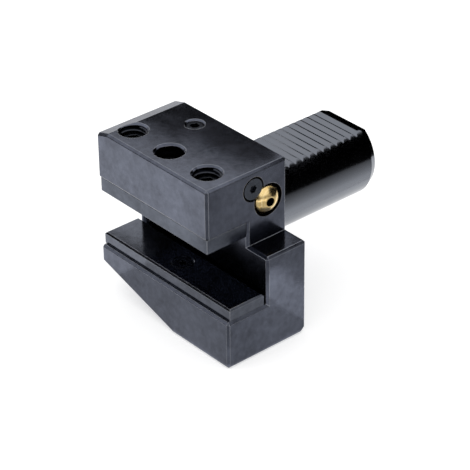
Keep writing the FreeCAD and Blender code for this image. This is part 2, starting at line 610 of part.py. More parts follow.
def coil_spring(label):
    """A coil spring that stands on its own origin."""
    radius = size("spring_radius")
    wire_radius = size("spring_wire_radius")
    rise = size("spring_length") - 2 * wire_radius
    runs = round(COIL_STEPS * size("spring_turns"))
    coil = []
    for step in range(runs + 1):
        angle = 2 * math.pi * size("spring_turns") * step / runs
        height = wire_radius + rise * step / runs
        coil.append(FreeCAD.Vector(radius * math.cos(angle), radius * math.sin(angle), height))
    along = (coil[1] - coil[0]).normalize()
    outward = along.cross(FreeCAD.Vector(0, 0, 1)).normalize() * wire_radius
    section = [coil[0] + FreeCAD.Rotation(along, 360 * side / WIRE_SIDES).multVec(outward)
               for side in range(WIRE_SIDES)]
    section.append(section[0])
    spring = doc.addObject("Part::Feature", label)
    spring.Label = label
    mitred = 1
    spring.Shape = Part.makePolygon(coil).makePipeShell([Part.makePolygon(section)], True, False, mitred)
    return spring


place(coil_spring("lift_spring"), BLOCK_MIDDLE, CLAMP_LINE, LEDGE)

# Hardened support plate on the jaw, with its screw and two dowel pins
support_plate = new_body("support_plate")
SEAT_LEFT = f"({BLOCK_LEFT} + seat_left_inset)"
SEAT_RIGHT = "(body_half_width - seat_right_inset)"
SEAT_FRONT = "(-body_depth + seat_front_setback)"
SEAT_BACK = "(-wall_depth - seat_wall_gap)"
seat_outline = [(SEAT_LEFT, SEAT_FRONT), (SEAT_RIGHT, SEAT_FRONT), (SEAT_RIGHT, SEAT_BACK),
                (SEAT_LEFT, SEAT_BACK)]
pad(support_plate, "seat", outline(support_plate, "seat_outline", "XY_Plane", seat_outline, JAW_TOP),
    "seat_height")
break_edges(support_plate, "seat_edges", at_height(SEAT_TOP), "seat_edge_break")
hole(support_plate, "seat_screw_hole", "XY_Plane", SEAT_TOP, [(SEAT_CENTRE, SEAT_MIDDLE)],
     "seat_screw_radius", "seat_height", mouth="seat_head_radius + seat_head_rim + seat_head_sink", flat=True)
hole(support_plate, "dowel_holes", "XY_Plane", JAW_TOP,
     [(SEAT_LEFT_PIN, SEAT_MIDDLE), (SEAT_RIGHT_PIN, SEAT_MIDDLE)], "dowel_radius", "dowel_rise", flat=True,
     backwards=True)
for label, across in (("support_dowel_left", SEAT_LEFT_PIN), ("support_dowel_right", SEAT_RIGHT_PIN)):
    place(cylinder_pin(label, "dowel_radius", "dowel_length"), across, SEAT_MIDDLE,
          f"{JAW_TOP} + dowel_rise - dowel_length")


def countersunk_screw(label, head_radius, rim, radius, length, socket, socket_depth):
    """A countersunk screw, the top of its head on its own origin and its shank below."""
    screw = turned(label, [
        ("0", "0"), (head_radius, "0"), (head_radius, f"-{rim}"),
        (radius, f"-{rim} - ({head_radius} - {radius})"), (radius, f"-{length} + screw_end_break"),
        (f"{radius} - screw_end_break", f"-{length}"), ("0", f"-{length}")])
    return hexagon_socket(screw, socket, "0", socket_depth)


seat_screw = countersunk_screw("support_plate_screw", "seat_head_radius", "seat_head_rim",
                               "seat_screw_radius", "seat_screw_length", "seat_socket", "seat_socket_depth")
place(seat_screw, SEAT_CENTRE, SEAT_MIDDLE, f"{SEAT_TOP} - seat_head_sink")


# Brass coolant ball with a flat round its orifice
sphere = doc.addObject("Part::Sphere", "ball_sphere")
sphere.setExpression("Radius", linked("ball_radius"))
between_flats = doc.addObject("Part::Cylinder", "ball_between_flats")
between_flats.setExpression("Radius", linked("ball_radius"))
between_flats.setExpression("Height", linked("ball_flat + ball_back_flat"))
between_flats.setExpression("Placement.Base.z", linked("-ball_back_flat"))
ball_blank = doc.addObject("Part::Common", "ball_blank")
ball_blank.Base = sphere
ball_blank.Tool = between_flats
orifice = doc.addObject("Part::Cylinder", "ball_orifice")
orifice.setExpression("Radius", linked("orifice_radius"))
orifice.setExpression("Height", linked("ball_flat + ball_back_flat"))
orifice.setExpression("Placement.Base.z", linked("-ball_back_flat"))
ball_inlet = doc.addObject("Part::Cone", "ball_inlet")
ball_inlet.setExpression("Radius1", linked("ball_inlet_radius"))
ball_inlet.setExpression("Radius2", linked("orifice_radius"))
ball_inlet.setExpression("Height", linked("ball_inlet_depth"))
ball_inlet.setExpression("Placement.Base.z", linked("-ball_back_flat"))
ball_bore = doc.addObject("Part::Fuse", "ball_bore")
ball_bore.Base = orifice
ball_bore.Tool = ball_inlet
nozzle_ball = doc.addObject("Part::Cut", "nozzle_ball")
nozzle_ball.Base = ball_blank
nozzle_ball.Tool = ball_bore
TO_FRONT = FreeCAD.Rotation(FreeCAD.Vector(0, 0, -1), size("ball_aim"))
place(nozzle_ball, BALL_X, BALL_Y, BALL_Z, TO_FRONT * TO_RIGHT)

# Sealing ring that the ball is pressed against
nozzle_seal = ring("nozzle_seal", "ball_seal_radius", "ball_seal_cord_radius")
place(nozzle_seal, SEAL_X, BALL_Y, BALL_Z, TO_RIGHT)

# Countersunk screw whose head overlaps the ball and holds it
lock_screw = countersunk_screw("nozzle_lock_screw", "lock_head_radius", "lock_head_rim",
                               "(lock_screw_radius - running_clearance)", "lock_length", "lock_socket",
                               "lock_socket_depth")
place(lock_screw, f"{BLOCK_RIGHT} - lock_sink", LOCK_Y, LOCK_Z, TO_RIGHT)


def set_plug(label, radius, length, socket, socket_depth):
    """A threaded plug, its face on its own origin and its length below."""
    plug = turned(label, [
        ("0", "0"), (f"{radius} - plug_edge_break", "0"), (radius, "-plug_edge_break"),
        (radius, f"-{length} + plug_edge_break"), (f"{radius} - plug_edge_break", f"-{length}"),
        ("0", f"-{length}")])
    return hexagon_socket(plug, socket, "0", socket_depth)


# Threaded plugs that close the drilling in the top face and the lower inlet
place(set_plug("coolant_plug", "top_plug_radius", "top_plug_length", "top_plug_socket", "top_socket_depth"),
      "-drilling_left", BALL_Y, "block_top - top_plug_sink")
place(set_plug("inlet_plug", "inlet_plug_radius", "inlet_plug_length", "inlet_plug_socket",
               "inlet_socket_depth"), "-drilling_left", "-inlet_plug_sink", f"-{INLET_HEIGHT}", TO_SHANK)

NODES = [
    "holder_body", "shank_seal_ring", "clamp_plate", "guide_pin_left", "guide_pin_right", "clamp_screw_left",
    "clamp_screw_right", "lift_screw", "lift_washer", "lift_spring", "support_plate", "support_plate_screw",
    "support_dowel_left", "support_dowel_right", "nozzle_ball", "nozzle_seal", "nozzle_lock_screw",
    "coolant_plug", "inlet_plug",
]
doc.recompute()
for item in doc.Objects:
    if any(state in ("Invalid", "Error") for state in item.State):
        raise RuntimeError(f"{item.Label} failed: {item.State}")
pieces = [doc.getObjectsByLabel(label)[0] for label in NODES]
for piece in pieces:
    if piece.Shape.isNull() or not piece.Shape.isValid() or len(piece.Shape.Solids) != 1:
        raise RuntimeError(f"{piece.Label} isn't one valid solid")
for piece in pieces:
    piece.Shape.exportStep(f"parts/{piece.Label}.step")
    box = piece.Shape.BoundBox
    print(f"{piece.Label}: volume {piece.Shape.Volume:.1f}, x {box.XMin:.2f} {box.XMax:.2f}, "
          f"y {box.YMin:.2f} {box.YMax:.2f}, z {box.ZMin:.2f} {box.ZMax:.2f}")
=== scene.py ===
import math

import bmesh
import bpy
from mathutils import Matrix, Vector


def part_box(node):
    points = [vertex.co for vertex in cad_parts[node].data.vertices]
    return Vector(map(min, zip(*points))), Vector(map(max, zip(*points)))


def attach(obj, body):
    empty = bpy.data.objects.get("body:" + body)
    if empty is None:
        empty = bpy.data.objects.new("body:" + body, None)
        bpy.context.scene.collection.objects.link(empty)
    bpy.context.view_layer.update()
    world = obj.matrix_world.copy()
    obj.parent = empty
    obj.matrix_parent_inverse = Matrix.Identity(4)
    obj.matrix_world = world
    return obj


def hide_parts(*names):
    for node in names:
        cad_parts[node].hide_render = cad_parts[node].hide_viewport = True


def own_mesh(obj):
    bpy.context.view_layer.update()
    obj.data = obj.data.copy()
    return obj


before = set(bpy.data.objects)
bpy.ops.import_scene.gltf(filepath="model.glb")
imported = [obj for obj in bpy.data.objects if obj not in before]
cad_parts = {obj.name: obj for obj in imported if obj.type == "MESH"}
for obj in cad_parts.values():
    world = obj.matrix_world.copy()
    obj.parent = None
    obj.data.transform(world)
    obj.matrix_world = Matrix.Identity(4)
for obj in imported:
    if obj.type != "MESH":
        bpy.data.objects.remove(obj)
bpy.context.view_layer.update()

# Camera at the photograph's viewing angle, for an image of 470 by 470 pixels.
# The holder's origin lies this far from it along the camera's own right, up and forward lines.
MM = 0.001
IMAGE_SIDE = 470
FOCAL_PIXELS = 2168.65
AZIMUTH = math.radians(49.42)
ELEVATION = math.radians(31.79)
ROLL = math.radians(-0.67)
ORIGIN_RIGHT = 2.2 * MM
ORIGIN_UP = 16.65 * MM
ORIGIN_AHEAD = 936.35 * MM
SENSOR_WIDTH = 36.0
NEAREST_SEEN = 0.05

back = Vector((math.sin(AZIMUTH) * math.cos(ELEVATION), -math.cos(AZIMUTH) * math.cos(ELEVATION),
               math.sin(ELEVATION)))
level_right = Vector((0, 0, 1)).cross(back).normalized()
level_up = back.cross(level_right)
right = math.cos(ROLL) * level_right + math.sin(ROLL) * level_up
up = -math.sin(ROLL) * level_right + math.cos(ROLL) * level_up
camera_data = bpy.data.cameras.new("camera")
camera_data.sensor_width = SENSOR_WIDTH
camera_data.lens = FOCAL_PIXELS / IMAGE_SIDE * SENSOR_WIDTH
camera_data.clip_start = NEAREST_SEEN
camera = bpy.data.objects.new("camera", camera_data)
camera_place = back * ORIGIN_AHEAD - right * ORIGIN_RIGHT - up * ORIGIN_UP
camera_turn = Matrix((right, up, back)).transposed().to_4x4()
camera.matrix_world = Matrix.Translation(camera_place) @ camera_turn
bpy.context.scene.collection.objects.link(camera)
bpy.context.scene.camera = camera
bpy.context.scene.view_settings.view_transform = "Standard"


# White studio world: white to the camera and in what metal reflects, and softer as a light on
# what is matt, so that a colour renders about as it is written.
SOFT_LIGHT = 0.85


def reckon(tree, operation, *values):
    """The result of a Math node, from sockets and numbers."""
    node = tree.nodes.new("ShaderNodeMath")
    node.operation = operation
    for socket, value in zip(node.inputs, values):
        if isinstance(value, (int, float)):
            socket.default_value = value
        else:
            tree.links.new(value, socket)
    return node.outputs[0]


def spread(tree, value, low, high, from_low=0.0, from_high=1.0):
    """A value taken from one range to another."""
    node = tree.nodes.new("ShaderNodeMapRange")
    node.inputs["From Min"].default_value = from_low
    node.inputs["From Max"].default_value = from_high
    node.inputs["To Min"].default_value = low
    node.inputs["To Max"].default_value = high
    tree.links.new(value, node.inputs["Value"])
    return node.outputs[0]


world = bpy.data.worlds.new("studio")
bpy.context.scene.world = world
world.use_nodes = True
tree = world.node_tree
rays = tree.nodes.new("ShaderNodeLightPath")
seen = reckon(tree, "MAXIMUM", rays.outputs["Is Camera Ray"], rays.outputs["Is Glossy Ray"])
seen = reckon(tree, "MAXIMUM", seen, rays.outputs["Is Transmission Ray"])
sky = tree.nodes["Background"]
sky.inputs["Color"].default_value = (1, 1, 1, 1)
tree.links.new(spread(tree, seen, SOFT_LIGHT, 1.0), sky.inputs["Strength"])


# Plain white floor under the jaw. It keeps the soft shadow, and a faint glow in what the
# camera and the metal see brings it to the white of the background.
FLOOR_SIDE = 6.0
FLOOR_COLOUR = (0.86, 0.86, 0.86, 1)
FLOOR_GLOW = 0.45
floor_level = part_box("holder_body")[0].z
shape = bmesh.new()
bmesh.ops.create_grid(shape, x_segments=1, y_segments=1, size=FLOOR_SIDE / 2)
bmesh.ops.translate(shape, verts=shape.verts, vec=(0, 0, floor_level))
floor_data = bpy.data.meshes.new("floor")
shape.to_mesh(floor_data)
shape.free()
floor = bpy.data.objects.new("floor", floor_data)
bpy.context.scene.collection.objects.link(floor)
floor_white = bpy.data.materials.new("floor_white")
floor_white.use_nodes = True
tree = floor_white.node_tree
tree.nodes.clear()
matt = tree.nodes.new("ShaderNodeBsdfDiffuse")
matt.inputs["Color"].default_value = FLOOR_COLOUR
glow = tree.nodes.new("ShaderNodeEmission")
rays = tree.nodes.new("ShaderNodeLightPath")
seen = reckon(tree, "MAXIMUM", rays.outputs["Is Camera Ray"], rays.outputs["Is Glossy Ray"])
tree.links.new(reckon(tree, "MULTIPLY", seen, FLOOR_GLOW), glow.inputs["Strength"])
lit_floor = tree.nodes.new("ShaderNodeAddShader")
tree.links.new(matt.outputs[0], lit_floor.inputs[0])
tree.links.new(glow.outputs[0], lit_floor.inputs[1])
surface = tree.nodes.new("ShaderNodeOutputMaterial")
tree.links.new(lit_floor.outputs[0], surface.inputs["Surface"])
floor.data.materials.append(floor_white)


# Two soft lamps, a wide one over the front left and a weaker one on the right. They light what
# is matt, and polished metal shows the white studio instead of them.
def soft_lamp(name, place, side, power):
    """A square lamp at place that looks at the holder."""
    light = bpy.data.lights.new(name, "AREA")
    light.size = side
    light.energy = power
    lamp = bpy.data.objects.new(name, light)
    lamp.location = place
    lamp.rotation_euler = (-Vector(place)).to_track_quat("-Z", "Y").to_euler()
    lamp.visible_glossy = False
    bpy.context.scene.collection.objects.link(lamp)


soft_lamp("lamp_front_left", place=(-0.9, -0.9, 1.1), side=1.6, power=3)
soft_lamp("lamp_right", place=(1.2, -0.6, 0.8), side=1.4, power=2)


# Studio cards. Polished metal shows what stands round it, and these are what its dark faces
# show. A card's grey is how bright it looks in the metal, and black where none is given.
CARD_OVER_FLOOR = 1 * MM
REAR_DISTANCE = 0.12
REAR_FOOT = -0.015
TIPS_LEFT = 0.03
TIPS_LEFT_TOP = 0.045
TIPS_RIGHT = 0.13
TIPS_RIGHT_TOP = 0.21


def studio_card(name, corners, grey=0.0):
    """A flat card through four corners, seen in reflections only."""
    paint = bpy.data.materials.new(name)
    paint.use_nodes = True
    tree = paint.node_tree
    tree.nodes.clear()
    shade = tree.nodes.new("ShaderNodeEmission")
    shade.inputs["Color"].default_value = (1, 1, 1, 1)
    shade.inputs["Strength"].default_value = grey
    surface = tree.nodes.new("ShaderNodeOutputMaterial")
    tree.links.new(shade.outputs[0], surface.inputs["Surface"])
    shape = bmesh.new()
    shape.faces.new([shape.verts.new(corner) for corner in corners])
    data = bpy.data.meshes.new(name)
    shape.to_mesh(data)
    shape.free()
    card = bpy.data.objects.new(name, data)
    card.data.materials.append(paint)
    bpy.context.scene.collection.objects.link(card)
    card.visible_camera = False
    card.visible_diffuse = False
    card.visible_shadow = False
    return paint


def standing_card(name, azimuth, distance, left, right, bottom, top, grey=0.0):
    """A card square to a line from the origin; left and right are along it, seen from inside."""
    away = Vector((math.cos(math.radians(azimuth)), math.sin(math.radians(azimuth)), 0))
    along = Vector((away.y, -away.x, 0))
    middle = away * distance
    studio_card(name, [middle - along * left + Vector((0, 0, bottom)),
                       middle + along * right + Vector((0, 0, bottom)),
                       middle + along * right + Vector((0, 0, top)),
                       middle - along * left + Vector((0, 0, top))], grey)


def lying_card(name, low, high, grey=0.0):
    """A card that lies on the floor between two corners."""
    height = floor_level + CARD_OVER_FLOOR
    return studio_card(name, [(low[0], low[1], height), (high[0], low[1], height),
                              (high[0], high[1], height), (low[0], high[1], height)], grey)


def fading_card(name, low, high, white_until):
    """A lying card that is white up to one X, and past it fades as one over X."""
    paint = lying_card(name, low, high)
    tree = paint.node_tree
    place = tree.nodes.new("ShaderNodeTexCoord")
    parts = tree.nodes.new("ShaderNodeSeparateXYZ")
    tree.links.new(place.outputs["Object"], parts.inputs[0])
    faded = reckon(tree, "DIVIDE", white_until, parts.outputs["X"])
    faded.node.use_clamp = True
    tree.links.new(faded, tree.nodes["Emission"].inputs["Strength"])


# Black behind the holder, for the shank's upper side, its teeth's tips and the step's top.
standing_card("card_behind_shank", azimuth=90.0, distance=REAR_DISTANCE, left=0.10, right=0.03,
              bottom=REAR_FOOT, top=0.130)
studio_card("card_behind_tips", [(TIPS_LEFT, REAR_DISTANCE, REAR_FOOT),
                                 (TIPS_RIGHT, REAR_DISTANCE, REAR_FOOT),
                                 (TIPS_RIGHT, REAR_DISTANCE, TIPS_RIGHT_TOP),
                                 (TIPS_LEFT, REAR_DISTANCE, TIPS_LEFT_TOP)])
standing_card("card_behind_step", azimuth=90.0, distance=REAR_DISTANCE, left=-0.13, right=0.50,
              bottom=REAR_FOOT, top=0.185)
# Black for the rear of the top face, for the tool slot, and for the edges under the white sky.
standing_card("card_behind_block", azimuth=105.0, distance=0.075, left=0.20, right=-0.029,
              bottom=0.063, top=0.103)
standing_card("card_before_slot", azimuth=-90.0, distance=0.08, left=0.10, right=0.20, bottom=0.012,
              top=0.062)
standing_card("card_on_horizon", azimuth=220.0, distance=0.6, left=0.45, right=0.45, bottom=-0.046,
              top=0.21)
# On the right: greys for the right end face and the brass ball, and a card that fades away
# from white for the shank's lower side.
standing_card("card_beside_shank", azimuth=0.0, distance=0.056, left=0.024, right=0.032,
              bottom=-0.020, top=0.013, grey=0.5)
standing_card("card_before_ball", azimuth=0.0, distance=0.12, left=0.05, right=0.14, bottom=0.026,
              top=0.056, grey=0.35)
fading_card("card_beside_shank_low", low=(0.030, 0.022), high=(1.5, 1.2), white_until=0.052)
# Greys on the floor, for the front and right faces of block and jaw.
lying_card("card_before_jaw", low=(-0.045, -0.11), high=(0.06, -0.045), grey=0.7)
lying_card("card_before_corner", low=(0.05, -0.25), high=(0.20, -0.055), grey=0.45)
lying_card("card_beside_jaw", low=(0.0435, -0.05), high=(0.08, 0.004), grey=0.65)


# Holder body: block, slot, jaw and toothed shank are machined from one piece of case-hardened
# steel and blackened all over. The shank is ground once more, which leaves it a little lighter.
# The walls of the bores are painted near black as shade, the clamping bores a little less.
HOLDER_BLACK = (0.106, 0.116, 0.150)
HOLDER_ROUGHNESS = 0.18
SHANK_BLACK = (0.185, 0.197, 0.225)
SHANK_ROUGHNESS = 0.14
BORE_SHADE = (0.012, 0.012, 0.014)
THREAD_BORE_SHADE = (0.045, 0.049, 0.060)
BARE_STEEL_AND_HIGHLIGHT = (0.55, 0.56, 0.58)
CLOUD_SIZE = 60.0
CLOUD_DETAIL = 8.0
CLOUD_ROUGHNESS = 0.72
CLOUD_DEPTH = 0.28
CLOUD_STARTS = 0.55
CLOUD_ENDS = 0.95
NOISE_LOW = 0.3
NOISE_HIGH = 0.7
MOTTLE_SIZE = 420.0
MOTTLE_DETAIL = 4.0
MOTTLE_SHARE = 0.5
WAVE_STRENGTH = 0.3
WAVE_DEPTH = 0.05 * MM
GRAIN_SIZE = 2600.0
GRAIN_DETAIL = 3.0
GRAIN_STRENGTH = 0.3
GRAIN_DEPTH = 0.02 * MM
POLISH_SPREAD = 0.04
# Edge band: bare steel where edges wear, and painted highlight along edges and inner corners.
ROUNDED_EDGE_WIDTH = 0.5 * MM
EDGE_SAMPLES = 6
EDGE_STARTS = 0.995
EDGE_ENDS = 0.90
EDGE_WEAR_AND_HIGHLIGHT = 0.45
BURNISH = -0.3
FLANGE_FACE = 0.5 * MM
MIDDLE_BORE = ((-12.4 * MM, -39.4 * MM, 3 * MM), (-0.1 * MM, -27 * MM, 31.5 * MM))
LEFT_BORE = ((-36.55 * MM, -39.25 * MM, 9 * MM), (-24.45 * MM, -27.15 * MM, 31.6 * MM))
RIGHT_BORE = ((11.95 * MM, -39.25 * MM, 9 * MM), (24.05 * MM, -27.15 * MM, 31.6 * MM))
BALL_BORE = ((15 * MM, -18.8 * MM, 7.6 * MM), (29.9 * MM, -2.0 * MM, 24.3 * MM))
LOCK_BORE = ((15 * MM, -24.4 * MM, 17.6 * MM), (29.9 * MM, -12.4 * MM, 30.0 * MM))


def bare_metal(name):
    """A new metal material, its node tree and its shader."""
    material = bpy.data.materials.new(name)
    material.use_nodes = True
    shader = material.node_tree.nodes["Principled BSDF"]
    shader.inputs["Metallic"].default_value = 1.0
    return material, material.node_tree, shader


def place_on_piece(tree, stretch=None):
    """The piece's own coordinates, stretched where a pattern runs in lines."""
    place = tree.nodes.new("ShaderNodeTexCoord").outputs["Object"]
    if stretch is None:
        return place
    stretched = tree.nodes.new("ShaderNodeMapping")
    stretched.inputs["Scale"].default_value = stretch
    tree.links.new(place, stretched.inputs["Vector"])
    return stretched.outputs[0]


def noise(tree, place, size, detail, roughness=0.5):
    """A cloudy pattern, mostly between NOISE_LOW and NOISE_HIGH."""
    pattern = tree.nodes.new("ShaderNodeTexNoise")
    pattern.inputs["Scale"].default_value = size
    pattern.inputs["Detail"].default_value = detail
    pattern.inputs["Roughness"].default_value = roughness
    tree.links.new(place, pattern.inputs["Vector"])
    return pattern.outputs["Fac"]


def tinted(colour, share):
    """The same colour, darker or lighter."""
    return tuple(share * part for part in colour)


def shaded(tree, value, dark, light, start=0.0, end=1.0):
    """A colour that goes from dark to light along a value."""
    ramp = tree.nodes.new("ShaderNodeValToRGB")
    ramp.color_ramp.elements[0].position = start
    ramp.color_ramp.elements[1].position = end
    ramp.color_ramp.elements[0].color = dark + (1,)
    ramp.color_ramp.elements[1].color = light + (1,)
    tree.links.new(value, ramp.inputs["Fac"])
    return ramp.outputs["Color"]


def mix_colour(tree, amount, under, over):
    """A colour socket, covered with another colour by an amount."""
    mix = tree.nodes.new("ShaderNodeMix")
    mix.data_type = "RGBA"
    mix.inputs["B"].default_value = over + (1,)
    tree.links.new(amount, mix.inputs["Factor"])
    tree.links.new(under, mix.inputs["A"])
    return mix.outputs["Result"]


def relief(tree, height, strength, depth, under=None):
    """A normal for fine relief, on top of another normal where one is given."""
    bump = tree.nodes.new("ShaderNodeBump")
    bump.inputs["Strength"].default_value = strength
    bump.inputs["Distance"].default_value = depth
    tree.links.new(height, bump.inputs["Height"])
    if under is not None:
        tree.links.new(under, bump.inputs["Normal"])
    return bump.outputs["Normal"]


def blackened_steel(name, colour, roughness, wear_and_highlight=EDGE_WEAR_AND_HIGHLIGHT, edge_width=ROUNDED_EDGE_WIDTH):
    """Blackened steel with cloudy colour and fine grain; edges and corners painted brighter as wear
    and painted highlight.
    """
    material, tree, steel = bare_metal(name)
    place = place_on_piece(tree)
    cloud = noise(tree, place, CLOUD_SIZE, CLOUD_DETAIL, CLOUD_ROUGHNESS)
    mottle = noise(tree, place, MOTTLE_SIZE, MOTTLE_DETAIL)
    clouds = reckon(tree, "MULTIPLY_ADD", mottle, MOTTLE_SHARE, cloud)
    tint = shaded(tree, clouds, tinted(colour, 1 - CLOUD_DEPTH), tinted(colour, 1 + CLOUD_DEPTH),
                  CLOUD_STARTS, CLOUD_ENDS)

    rounded = tree.nodes.new("ShaderNodeBevel")
    rounded.samples = EDGE_SAMPLES
    rounded.inputs["Radius"].default_value = edge_width
    flat = tree.nodes.new("ShaderNodeNewGeometry")
    agree = tree.nodes.new("ShaderNodeVectorMath")
    agree.operation = "DOT_PRODUCT"
    tree.links.new(rounded.outputs["Normal"], agree.inputs[0])
    tree.links.new(flat.outputs["Normal"], agree.inputs[1])
    # Painted highlight and wear: edges and inner corners turn towards bare steel.
    edge = spread(tree, agree.outputs["Value"], 0.0, wear_and_highlight, EDGE_STARTS, EDGE_ENDS)
    tree.links.new(mix_colour(tree, edge, tint, BARE_STEEL_AND_HIGHLIGHT), steel.inputs["Base Color"])

    polish = spread(tree, cloud, roughness - POLISH_SPREAD, roughness + POLISH_SPREAD,
                    NOISE_LOW, NOISE_HIGH)
    burnished = reckon(tree, "MULTIPLY_ADD", edge, BURNISH, polish)
    tree.links.new(burnished, steel.inputs["Roughness"])

    waves = relief(tree, mottle, WAVE_STRENGTH, WAVE_DEPTH, rounded.outputs["Normal"])
    grain = noise(tree, place, GRAIN_SIZE, GRAIN_DETAIL)
    ground_face = relief(tree, grain, GRAIN_STRENGTH, GRAIN_DEPTH, waves)
    tree.links.new(ground_face, steel.inputs["Normal"])
    return material


def inside_box(tree, low, high):
    """1 where the surface lies between two corners of the object, 0 elsewhere."""
    parts = tree.nodes.new("ShaderNodeSeparateXYZ")
    tree.links.new(place_on_piece(tree), parts.inputs[0])
    inside = 1.0
    for axis in range(3):
        above = reckon(tree, "GREATER_THAN", parts.outputs[axis], low[axis])
        below = reckon(tree, "LESS_THAN", parts.outputs[axis], high[axis])
        inside = reckon(tree, "MULTIPLY", reckon(tree, "MULTIPLY", above, below), inside)
    return inside


def finish_node(node, material):
    """Gives a CAD node one material on every slot."""
    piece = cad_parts[node]
    if not piece.material_slots:
        piece.data.materials.append(material)
    for material_slot in piece.material_slots:
        material_slot.material = material


holder_steel = blackened_steel("holder_steel", HOLDER_BLACK, HOLDER_ROUGHNESS)
tree = holder_steel.node_tree
steel = tree.nodes["Principled BSDF"]
colour = steel.inputs["Base Color"].links[0].from_socket
roughness = steel.inputs["Roughness"].links[0].from_socket
low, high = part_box("holder_body")
on_shank = inside_box(tree, (low.x, FLANGE_FACE, low.z), (high.x, high.y + FLANGE_FACE, high.z))
colour = mix_colour(tree, on_shank, colour, SHANK_BLACK)
# Painted shade: near black on the bore walls, a little less in the clamping bores.
for bore, black in ((MIDDLE_BORE, BORE_SHADE), (BALL_BORE, BORE_SHADE), (LOCK_BORE, BORE_SHADE),
                    (LEFT_BORE, THREAD_BORE_SHADE), (RIGHT_BORE, THREAD_BORE_SHADE)):
    colour = mix_colour(tree, inside_box(tree, bore[0], bore[1]), colour, black)
tree.links.new(colour, steel.inputs["Base Color"])
ground = spread(tree, on_shank, 1.0, SHANK_ROUGHNESS / HOLDER_ROUGHNESS)
tree.links.new(reckon(tree, "MULTIPLY", roughness, ground), steel.inputs["Roughness"])
finish_node("holder_body", holder_steel)


# Thread turns in the two clamping bores, above the screws: cut with an M12 tap, so they show as
# sharp rings on the bore's wall. They are steel of the block itself.
CLAMP_PITCH = 1.75 * MM
BORE_RADIUS = 6.0 * MM
BORE_THREAD_DEPTH = 0.7 * MM
BORE_THREAD_FOOT = 0.05 * MM
BORE_RIDGE_SHARE = 0.28
OVER_SCREW = 0.2 * MM
THREAD_TOP_OVER_SCREW = 2.5 * MM
RIDGE_SHARE = 0.44
RIDGE_STEPS = 72
CRISP_CORNER = math.radians(28)


def wound_ridge(shape, inner, outer, crest_inside, low, high, pitch, foot_share=RIDGE_SHARE):
    """Adds one closed thread ridge, wound round the Z axis between two heights."""
    half = foot_share * pitch
    foot, crest = (outer, inner) if crest_inside else (inner, outer)
    points = [shape.verts.new((foot, 0, low - half)), shape.verts.new((crest, 0, low)),
              shape.verts.new((foot, 0, low + half))]
    section = [shape.edges.new((points[side], points[(side + 1) % 3])) for side in range(3)]
    turns = (high - low) / pitch
    steps = round(RIDGE_STEPS * turns)
    bmesh.ops.spin(shape, geom=points + section, cent=(0, 0, 0), axis=(0, 0, 1),
                   angle=2 * math.pi * turns, dvec=(0, 0, (high - low) / steps), steps=steps,
                   use_merge=False, use_duplicate=False)
    open_edges = [edge for edge in shape.edges if edge.is_boundary]
    bmesh.ops.holes_fill(shape, edges=open_edges, sides=3)


def make_piece(name, shape, material):
    """Turns a finished bmesh into a piece with smooth turns and crisp corners."""
    bmesh.ops.recalc_face_normals(shape, faces=shape.faces)
    for face in shape.faces:
        face.smooth = True
    for edge in shape.edges:
        if edge.is_manifold and edge.calc_face_angle() > CRISP_CORNER:
            edge.smooth = False
    data = bpy.data.meshes.new(name)
    shape.to_mesh(data)
    shape.free()
    piece = bpy.data.objects.new(name, data)
    piece.data.materials.append(material)
    bpy.context.scene.collection.objects.link(piece)
    return piece


for side in ("left", "right"):
    low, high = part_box("clamp_screw_" + side)
    middle = (low + high) / 2
    shape = bmesh.new()
    wound_ridge(shape, BORE_RADIUS - BORE_THREAD_DEPTH, BORE_RADIUS + BORE_THREAD_FOOT, True,
                high.z + OVER_SCREW, high.z + THREAD_TOP_OVER_SCREW, CLAMP_PITCH, BORE_RIDGE_SHARE)
    bmesh.ops.translate(shape, verts=shape.verts, vec=(middle.x, middle.y, 0))
    thread = make_piece("bore_thread_" + side, shape, holder_steel)
    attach(thread, "holder")


# Sealing rings: moulded round cord of oil-proof rubber. The one finished here lies in the flange
# face round the shank. The other is behind the coolant ball and is finished with it.
RUBBER = (0.022, 0.022, 0.023)
RUBBER_DARKEST = 0.7
RUBBER_PALEST = 1.6
RUBBER_SMOOTHEST = 0.45
RUBBER_ROUGHEST = 0.65
RUBBER_SHINE = 0.35
BLOOM_SIZE = 400.0
BLOOM_DETAIL = 4.0
SKIN_STRENGTH = 0.25
SKIN_DEPTH = 0.03 * MM
seal_rubber = bpy.data.materials.new("seal_rubber")
seal_rubber.use_nodes = True
tree = seal_rubber.node_tree
cord = tree.nodes["Principled BSDF"]
cord.inputs["Specular IOR Level"].default_value = RUBBER_SHINE
bloom = noise(tree, place_on_piece(tree), BLOOM_SIZE, BLOOM_DETAIL)
tint = shaded(tree, bloom, tinted(RUBBER, RUBBER_DARKEST), tinted(RUBBER, RUBBER_PALEST))
tree.links.new(tint, cord.inputs["Base Color"])
tree.links.new(spread(tree, bloom, RUBBER_SMOOTHEST, RUBBER_ROUGHEST), cord.inputs["Roughness"])
tree.links.new(relief(tree, bloom, SKIN_STRENGTH, SKIN_DEPTH), cord.inputs["Normal"])
finish_node("shank_seal_ring", seal_rubber)


# Plugs of the coolant drilling: turned steel with a fine rolled thread, a hexagon socket and a
# thick black oxide, one in the top face and one in the flange face. The screws below are made
# the same way: the thread is wound on a core of the root's size.
SCREW_BLACK = (0.070, 0.078, 0.096)
SCREW_ROUGHNESS = 0.26
# The screws' edges are painted a little brighter too: part wear, part painted highlight.
SCREW_WEAR_AND_HIGHLIGHT = 0.2
SCREW_EDGE = 0.12 * MM
PLUG_RADIUS = 4.0 * MM
PLUG_PITCH = 1.0 * MM
THREAD_DEPTH = 0.6134
SAME = 0.02 * MM
SAME_POINT = 0.001 * MM
UP = Vector((0, 0, 1))
OUT_OF_FLANGE = Vector((0, 1, 0))
screw_steel = blackened_steel("screw_steel", SCREW_BLACK, SCREW_ROUGHNESS, SCREW_WEAR_AND_HIGHLIGHT, SCREW_EDGE)


